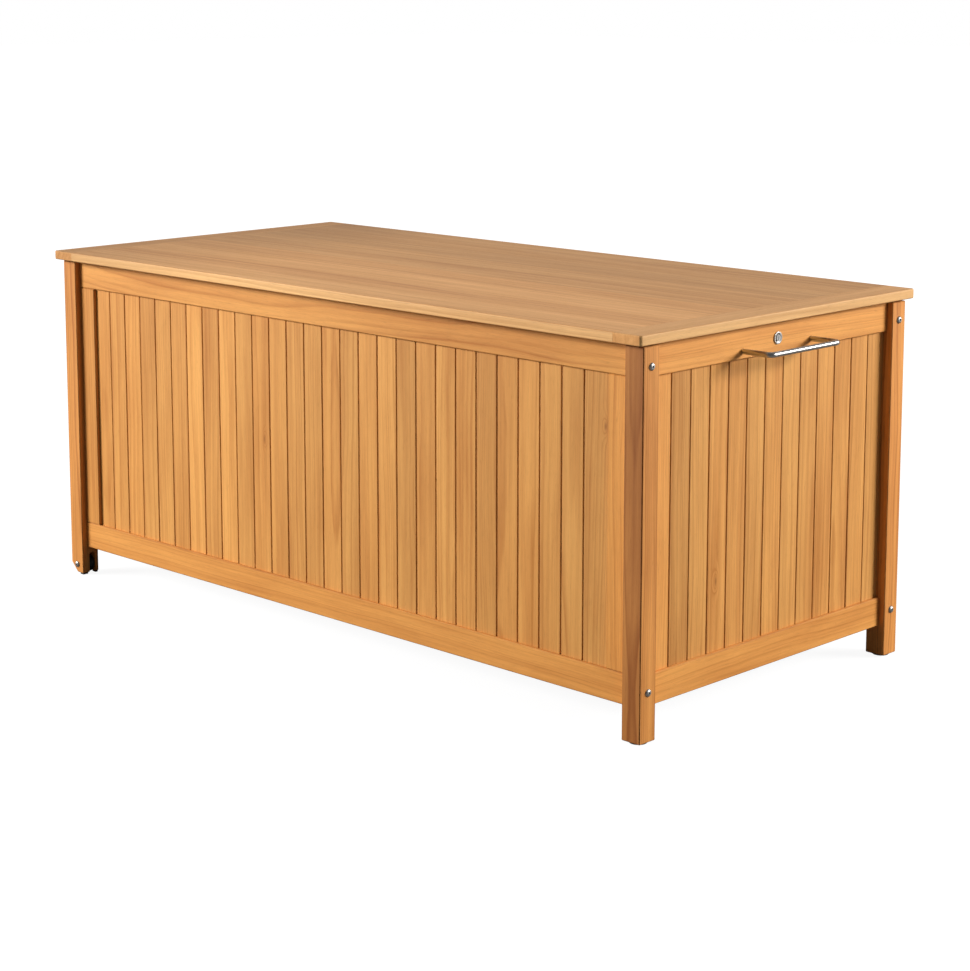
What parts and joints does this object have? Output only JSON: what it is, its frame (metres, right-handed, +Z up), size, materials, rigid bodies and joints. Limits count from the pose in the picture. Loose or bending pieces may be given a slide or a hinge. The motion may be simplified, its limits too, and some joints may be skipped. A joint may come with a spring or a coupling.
{
  "type": "deck storage box",
  "caption": "Long slatted hardwood deck chest with a rear-hinged plank lid on gas struts, cam lock and bar handle on one end, and small tilt wheels set into the legs at the other.",
  "frame": {"origin": "on the floor, under the middle of the whole box's bounding box, handle included", "axes": "+Z up; +X along the box towards the handle and lock end; +Y towards the hinged rear side"},
  "size_m": [1.645, 0.77, 0.689],
  "materials": {
    "post_wood": "oiled",
    "rail_wood": "oiled",
    "slat_wood": "oiled",
    "lid_wood": "oiled, slight sheen",
    "floor_wood": "planed",
    "stainless_steel": "satin",
    "zinc_plate": "satin plated",
    "black_plastic": "matte",
    "wheel_rubber": "matte",
    "strut_paint": "satin black"
  },
  "bodies": {
    "box": {"post_front_left": "post_wood", "post_front_right": "post_wood", "post_rear_left": "post_wood", "post_rear_right": "post_wood", "glide_front_left": "black_plastic", "glide_front_right": "black_plastic", "glide_rear_left": "black_plastic", "glide_rear_right": "black_plastic", "front_top_rail": "rail_wood", "front_bottom_rail": "rail_wood", "front_left_stile": "rail_wood", "front_right_stile": "rail_wood", "front_slats": "slat_wood", "rear_top_rail": "rail_wood", "rear_bottom_rail": "rail_wood", "rear_left_stile": "rail_wood", "rear_right_stile": "rail_wood", "rear_slats": "slat_wood", "left_end_top_rail": "rail_wood", "left_end_bottom_rail": "rail_wood", "left_end_slats": "slat_wood", "right_end_top_rail": "rail_wood", "right_end_bottom_rail": "rail_wood", "right_end_slats": "slat_wood", "floor_bearer_left": "floor_wood", "floor_bearer_right": "floor_wood", "floor_board_1": "floor_wood", "floor_board_2": "floor_wood", "floor_board_3": "floor_wood", "floor_board_4": "floor_wood", "hinge_left_frame_leaf": "zinc_plate", "hinge_right_frame_leaf": "zinc_plate", "hinge_left_pin": "zinc_plate", "hinge_right_pin": "zinc_plate", "strut_left_post_bracket": "zinc_plate", "strut_right_post_bracket": "zinc_plate", "lock_housing": "stainless_steel", "carry_handle": "stainless_steel", "wheel_axle_front": "stainless_steel", "wheel_axle_rear": "stainless_steel", "bolt_front_top": "stainless_steel", "bolt_front_bottom": "stainless_steel", "bolt_rear_top": "stainless_steel", "bolt_rear_bottom": "stainless_steel"},
    "lid": {"lid_panel": "lid_wood", "lid_end_left": "lid_wood", "lid_end_right": "lid_wood", "hinge_left_lid_leaf": "zinc_plate", "hinge_right_lid_leaf": "zinc_plate", "strut_left_lid_bracket": "zinc_plate", "strut_right_lid_bracket": "zinc_plate", "lock_strike": "zinc_plate"},
    "strut_barrel_left": {"strut_left_barrel": "strut_paint"},
    "strut_rod_left": {"strut_left_rod": "stainless_steel"},
    "strut_barrel_right": {"strut_right_barrel": "strut_paint"},
    "strut_rod_right": {"strut_right_rod": "stainless_steel"},
    "lock": {"lock_plug": "stainless_steel", "lock_cam": "zinc_plate"},
    "wheel_front": {"wheel_front": "wheel_rubber"},
    "wheel_rear": {"wheel_rear": "wheel_rubber"}
  },
  "joints": [
    {"name": "lid_hinge", "type": "hinge", "parent": "box", "child": "lid", "pos_m": [-0.0225, 0.373, 0.6666], "axis": [-1, 0, 0], "range_deg": [0, 75]},
    {"name": "strut_left_pivot", "type": "hinge", "parent": "box", "child": "strut_barrel_left", "pos_m": [-0.7625, 0.321, 0.50475], "axis": [-1, 0, 0], "range_deg": [0, 37.6]},
    {"name": "strut_left_stroke", "type": "slide", "parent": "strut_barrel_left", "child": "strut_rod_left", "axis": [0, -0.6117, 0.7911], "range_m": [0, 0.13106]},
    {"name": "strut_right_pivot", "type": "hinge", "parent": "box", "child": "strut_barrel_right", "pos_m": [0.7175, 0.321, 0.50475], "axis": [-1, 0, 0], "range_deg": [0, 37.6]},
    {"name": "strut_right_stroke", "type": "slide", "parent": "strut_barrel_right", "child": "strut_rod_right", "axis": [0, -0.6117, 0.7911], "range_m": [0, 0.13106]},
    {"name": "lock_turn", "type": "hinge", "parent": "box", "child": "lock", "pos_m": [0.7575, 0, 0.6395], "axis": [-1, 0, 0], "range_deg": [0, 90]},
    {"name": "wheel_front_spin", "type": "hinge", "parent": "box", "child": "wheel_front", "pos_m": [-0.794, -0.344, 0.0205], "axis": [0, 1, 0], "continuous": true},
    {"name": "wheel_rear_spin", "type": "hinge", "parent": "box", "child": "wheel_rear", "pos_m": [-0.794, 0.344, 0.0205], "axis": [0, 1, 0], "continuous": true}
  ],
  "couplings": [
    {"joint": "strut_left_pivot", "follows": "lid_hinge", "ratio": 0.5},
    {"joint": "strut_left_stroke", "follows": "lid_hinge", "m_per_rad": 0.099966},
    {"joint": "strut_right_pivot", "follows": "lid_hinge", "ratio": 0.5},
    {"joint": "strut_right_stroke", "follows": "lid_hinge", "m_per_rad": 0.099966}
  ]
}
